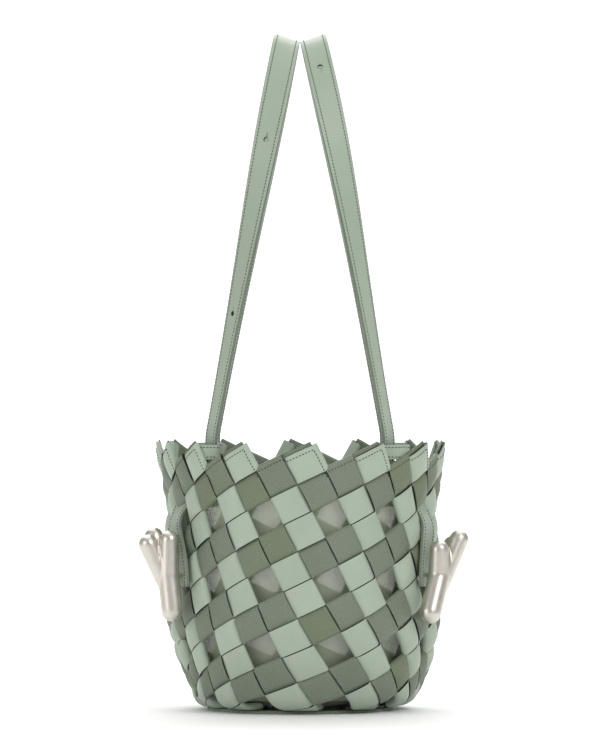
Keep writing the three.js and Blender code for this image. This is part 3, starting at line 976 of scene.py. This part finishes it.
def build_base(leather):
    """A flat leather panel with a rounded edge."""
    edge = 0.7 * MM
    stops = [(BASE_HALF_WIDTH * share, 0.0) for share in (0.1, 0.4, 0.7, 0.9)]
    stops += [(BASE_HALF_WIDTH - edge, 0.0), (BASE_HALF_WIDTH - edge * 0.3, edge * 0.3)]
    stops.append((BASE_HALF_WIDTH, edge))
    stops += [(BASE_HALF_WIDTH, BASE_THICKNESS - edge), (BASE_HALF_WIDTH - edge, BASE_THICKNESS)]
    stops += [(BASE_HALF_WIDTH * share, BASE_THICKNESS) for share in (0.9, 0.4, 0.1)]
    rings = [oval_ring(half_width, height) for half_width, height in stops]
    lays = [[(point.x, point.y, 0.0) for point in ring] for ring in rings]
    base = Shape()
    base.add_loft(rings, lays, [0.0] * OVAL_POINTS)
    piece = base.to_object("base_leather", [leather])
    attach(piece, "bag")
    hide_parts("base_panel")


def pouch_fold(angle, height_share):
    """How far the film stands out or in: soft upright folds, deeper towards the top."""
    place = Vector((math.cos(angle) * 2.6, math.sin(angle) * 2.6, height_share * 0.8))
    fine = Vector((math.cos(angle) * 7.0, math.sin(angle) * 7.0, height_share * 1.6 + 5))
    return (noise.noise(place) * 3.0 + noise.noise(fine) * 1.2) * MM * (0.35 + 0.65 * height_share)


def build_pouch(film):
    stops = [(0.1, POUCH_BOTTOM), (0.35, POUCH_BOTTOM), (0.6, POUCH_BOTTOM), (0.7, POUCH_BOTTOM + 1 * MM)]
    stops += [(0.8, POUCH_BOTTOM + 7 * MM), (0.875, POUCH_BOTTOM + 20 * MM)]
    for step in range(19):
        stops.append((1 - 0.07 * (1 - step / 18) ** 3, lerp(POUCH_BOTTOM + 34 * MM, POUCH_TOP, step / 18)))
    rings = []
    for share, height in stops:
        height_share = (height - POUCH_BOTTOM) / (POUCH_TOP - POUCH_BOTTOM)
        ring = []
        for angle in circle(POUCH_POINTS):
            radius = POUCH_HALF_WIDTH * share + pouch_fold(angle, height_share)
            ring.append(Vector((radius * math.cos(angle), radius * DEPTH_RATIO * math.sin(angle), height)))
        rings.append(ring)
    pouch = Shape()
    lays = [[(point.x, point.z, 0.0) for point in ring] for ring in rings]
    pouch.add_loft(rings, lays, [0.0] * POUCH_POINTS, capped=False)
    piece = pouch.to_object("pouch_film", [film])
    thick = piece.modifiers.new("film", "SOLIDIFY")
    thick.thickness = POUCH_FILM
    keep_modifiers_result(piece)
    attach(piece, "bag")
    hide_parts("inner_pouch")


# ---- Materials ----

class Material:
    """A node material with a Principled shader, and short ways to add nodes to it."""

    def __init__(self, name, **settings):
        self.material = bpy.data.materials.new(name)
        self.material.use_nodes = True
        self.tree = self.material.node_tree
        self.shader = self.tree.nodes["Principled BSDF"]
        for socket, value in settings.items():
            self.shader.inputs[socket.replace("_", " ")].default_value = value

    def node(self, kind, **settings):
        made = self.tree.nodes.new(kind)
        for name, value in settings.items():
            setattr(made, name, value)
        return made

    def put(self, value, socket):
        if isinstance(value, bpy.types.NodeSocket):
            self.tree.links.new(value, socket)
        else:
            socket.default_value = value

    def output(self, kind, output, inputs, **settings):
        """Adds a node with its inputs given as values or as other nodes' outputs, and returns an output."""
        made = self.node(kind, **settings)
        for name, value in inputs.items():
            self.put(value, made.inputs[name])
        return made.outputs[output]

    def attribute(self, name, output="Vector"):
        return self.output("ShaderNodeAttribute", output, {}, attribute_name=name)

    def math(self, operation, first, second=0.0):
        return self.output("ShaderNodeMath", 0, {0: first, 1: second}, operation=operation)

    def place(self):
        return self.output("ShaderNodeTexCoord", "Object", {})

    def noise(self, scale, detail=3.0):
        inputs = {"Vector": self.place(), "Scale": scale, "Detail": detail}
        return self.output("ShaderNodeTexNoise", "Fac", inputs)

    def pebbles(self, scale):
        return self.output("ShaderNodeTexVoronoi", "Distance", {"Vector": self.place(), "Scale": scale})

    def mix(self, share, first, second):
        return self.output("ShaderNodeMix", 2, {0: share, 6: first, 7: second}, data_type="RGBA")

    def ramp(self, value, low, high):
        """Maps value from low..high to 0..1."""
        inputs = {"Value": value, "From Min": low, "From Max": high}
        return self.output("ShaderNodeMapRange", "Result", inputs)

    def lay(self, axis):
        return self.output("ShaderNodeSeparateXYZ", axis, {0: self.attribute("lay")})

    def painted_shade_under(self, colour):
        """The colour with a painted shade where the leather lies under its neighbours."""
        return self.mix(self.math("MULTIPLY", self.lay("Z"), 0.68), colour, rgb(34, 36, 30))

    def bump(self, height, strength, distance):
        inputs = {"Strength": strength, "Distance": distance, "Height": height}
        self.put(self.output("ShaderNodeBump", "Normal", inputs), self.shader.inputs["Normal"])

    def roughness(self, value):
        self.put(value, self.shader.inputs["Roughness"])

    def colour(self, value):
        self.put(value, self.shader.inputs["Base Color"])


def rgb(red, green, blue):
    """A colour given as on screen, 0 to 255."""
    return (*[(value / 255 / 12.92 if value <= 10 else ((value / 255 + 0.055) / 1.055) ** 2.4)
              for value in (red, green, blue)], 1.0)


def smooth_leather(name, pale, deep, edge_colour):
    """Soft calf leather with fine pores, slight cloudiness and painted cut edges."""
    made = Material(name, Specular_IOR_Level=0.4)
    clouds = made.math("ADD", made.math("MULTIPLY", made.noise(45), 0.6),
                       made.math("MULTIPLY", made.attribute("tone", "Fac"), 0.4))
    body = made.mix(clouds, deep, pale)
    # Painted shade where the leather lies under its neighbours.
    body = made.painted_shade_under(body)
    made.colour(made.mix(made.ramp(made.attribute("edge", "Fac"), 0.55, 0.95), body, edge_colour))
    pores = made.math("ADD", made.math("MULTIPLY", made.pebbles(1600), 0.5), made.noise(2600, detail=2))
    made.bump(pores, 0.25, 0.0002)
    made.roughness(made.ramp(made.noise(900), -0.6, 1.9))
    return made.material


def grained_leather(name, pale, deep, olive, edge_colour):
    """Leather pressed with a fine slanted cross-hatch grain. Some strips of it are more olive."""
    made = Material(name, Roughness=0.5, Specular_IOR_Level=0.45)
    lay = made.attribute("lay")
    shift = made.output("ShaderNodeTexNoise", "Color", {"Vector": lay, "Scale": 160})
    wobble = made.output("ShaderNodeVectorMath", 0, {0: shift, "Scale": 0.0012}, operation="SCALE")
    bent = made.output("ShaderNodeVectorMath", 0, {0: lay, 1: wobble}, operation="ADD")
    ridges = []
    for angle in (math.radians(38), math.radians(-38)):
        turn = {"Vector": bent, "Angle": angle}
        turned = made.output("ShaderNodeVectorRotate", 0, turn, rotation_type="Z_AXIS")
        wave = {"Vector": turned, "Scale": 0.314 / GRAIN_PITCH}
        ridges.append(made.output("ShaderNodeTexWave", "Fac", wave, wave_type="BANDS", bands_direction="X"))
    grain = made.math("MAXIMUM", *ridges)
    tone = made.math("ADD", made.math("MULTIPLY", made.noise(38), 0.35),
                     made.math("MULTIPLY", made.attribute("tone", "Fac"), 0.65))
    body = made.mix(tone, deep, pale)
    body = made.mix(made.ramp(made.attribute("tone", "Fac"), 0.6, 0.66), body, olive)
    # Painted shade: the grain's grooves are coloured darker than its ridges.
    groove_shade = (*[channel * 0.55 for channel in deep[:3]], 1)
    shaded = made.mix(made.math("MULTIPLY", made.ramp(grain, 0.95, 0.15), 0.6), body, groove_shade)
    # Painted shade where the leather lies under its neighbours.
    shaded = made.painted_shade_under(shaded)
    made.colour(made.mix(made.ramp(made.attribute("edge", "Fac"), 0.55, 0.95), shaded, edge_colour))
    made.bump(made.math("ADD", grain, made.math("MULTIPLY", made.noise(2400), 0.3)), 0.5, 0.0005)
    return made.material


def raw_edge_and_shade():
    """The fibrous edge inside a punched hole, dark as raw leather and darker still with a painted shade inside
    the hole.
    """
    made = Material("raw_edge_and_shade", Roughness=0.85)
    made.colour(made.mix(made.noise(2500, detail=4), rgb(38, 40, 32), rgb(66, 68, 56)))
    made.bump(made.noise(3500), 0.3, 0.0002)
    return made.material


def stitch_thread():
    made = Material("stitch_thread", Roughness=0.7)
    made.colour(made.mix(made.noise(3000), rgb(40, 43, 36), rgb(68, 71, 60)))
    return made.material


def frosted_film():
    """A thin clouded film that half shows what is behind it. Its colour is painted darker towards the
    sides, to stand for the shade of the strips there."""
    made = Material("frosted_film", Roughness=0.4, Alpha=0.5, Specular_IOR_Level=0.5)
    shade = made.ramp(made.math("ABSOLUTE", made.lay("X")), 42 * MM, 70 * MM)
    clouds = made.mix(made.noise(30), rgb(156, 164, 143), rgb(176, 183, 163))
    made.colour(made.mix(shade, clouds, rgb(146, 153, 130)))
    made.bump(made.noise(18, detail=2), 0.2, 0.003)
    return made.material


def satin_metal(name, pale, deep):
    made = Material(name, Metallic=1.0)
    made.colour(made.mix(made.noise(120), deep, pale))
    made.roughness(made.ramp(made.noise(260), -0.55, 2.2))
    made.bump(made.noise(3500), 0.06, 0.0001)
    return made.material


def give_material(node, material):
    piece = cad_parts[node]
    piece.data.materials.clear()
    piece.data.materials.append(material)


def board_fibre():
    made = Material("board_fibre", Roughness=0.9)
    made.colour(made.mix(made.noise(400, detail=5), rgb(96, 92, 84), rgb(120, 116, 106)))
    made.bump(made.noise(900), 0.3, 0.0003)
    return made.material


# ---- Stage ----

def build_floor():
    """A pale floor that curves up into a backdrop."""
    profile = [(-6.0, 0.0), (5.0, 0.0)]
    profile += [(5.0 + 1.2 * math.sin(angle), 1.2 - 1.2 * math.cos(angle))
                for angle in (math.pi / 2 * step / 12 for step in range(1, 13))]
    profile.append((6.2, 6.0))
    points = [(x, y, z) for y, z in profile for x in (-5.0, 5.0)]
    faces = [(2 * row, 2 * row + 1, 2 * row + 3, 2 * row + 2) for row in range(len(profile) - 1)]
    mesh = bpy.data.meshes.new("floor")
    mesh.from_pydata(points, [], faces)
    mesh.polygons.foreach_set("use_smooth", [True] * len(faces))
    paper = Material("floor_paper", Roughness=0.9)
    paper.colour(rgb(248, 248, 247))
    mesh.materials.append(paper.material)
    add_object("floor", mesh)


def add_area_light(name, place, target, size, power):
    light = bpy.data.lights.new(name, "AREA")
    light.shape = "RECTANGLE"
    light.size, light.size_y = size
    light.energy = power
    lamp = add_object(name, light)
    lamp.location = place
    lamp.rotation_euler = (Vector(target) - Vector(place)).to_track_quat("-Z", "Y").to_euler()


def build_lights():
    world = bpy.data.worlds.new("studio")
    world.use_nodes = True
    background = world.node_tree.nodes["Background"]
    background.inputs["Color"].default_value = (1, 1, 1, 1)
    background.inputs["Strength"].default_value = 0.42
    bpy.context.scene.world = world
    add_area_light("key", (1.6, -2.2, 2.0), (0, 0, 0.2), (1.6, 1.6), 33)
    add_area_light("fill", (-2.2, -2.0, 1.0), (0, 0, 0.2), (1.6, 1.6), 17)
    add_area_light("top", (0.0, 0.3, 2.4), (0, 0.2, 0.0), (2.4, 2.4), 22)
    add_area_light("backdrop", (0.0, 3.2, 3.4), (0, 4.4, 0.0), (5, 3.5), 260)


def build_camera():
    camera = bpy.data.cameras.new("camera")
    camera.lens = CAMERA_LENS
    camera.sensor_width = 36
    camera.clip_end = 50
    viewer = add_object("camera", camera)
    viewer.location = (0, -CAMERA_DISTANCE, CAMERA_HEIGHT)
    viewer.rotation_euler = (math.radians(90), 0, 0)
    bpy.context.scene.camera = viewer
    bpy.context.scene.view_settings.view_transform = "Standard"


# ---- The whole scene ----

build_camera()
build_lights()
build_floor()

black_edge = rgb(44, 46, 40)
mint = smooth_leather("mint_leather", rgb(173, 187, 170), rgb(157, 171, 154), black_edge)
olive = rgb(117, 128, 102)
green = grained_leather("grained_green_leather", rgb(130, 141, 124), rgb(114, 124, 106), olive, black_edge)
strap_mint = smooth_leather("strap_leather", rgb(165, 179, 162), rgb(152, 166, 149), rgb(112, 124, 108))
base_green = grained_leather("base_leather", rgb(150, 160, 144), rgb(134, 144, 126), olive, black_edge)
# Hole walls: raw leather edge, with painted shade inside the hole.
hole_edge = raw_edge_and_shade()
thread = stitch_thread()
champagne = satin_metal("toggle_metal", rgb(216, 211, 203), rgb(204, 198, 188))
pale_gold = satin_metal("post_metal", rgb(226, 219, 204), rgb(214, 206, 190))

build_weave(mint, green)
build_rim_stitches(thread)
for side in SIDES:
    build_strap(side, strap_mint, hole_edge, thread)
    build_toggle(side, champagne)
    give_material(f"{side}_toggle_post", pale_gold)
build_keepers(strap_mint, thread)
build_base(base_green)
build_pouch(frosted_film())
give_material("base_board", board_fibre())
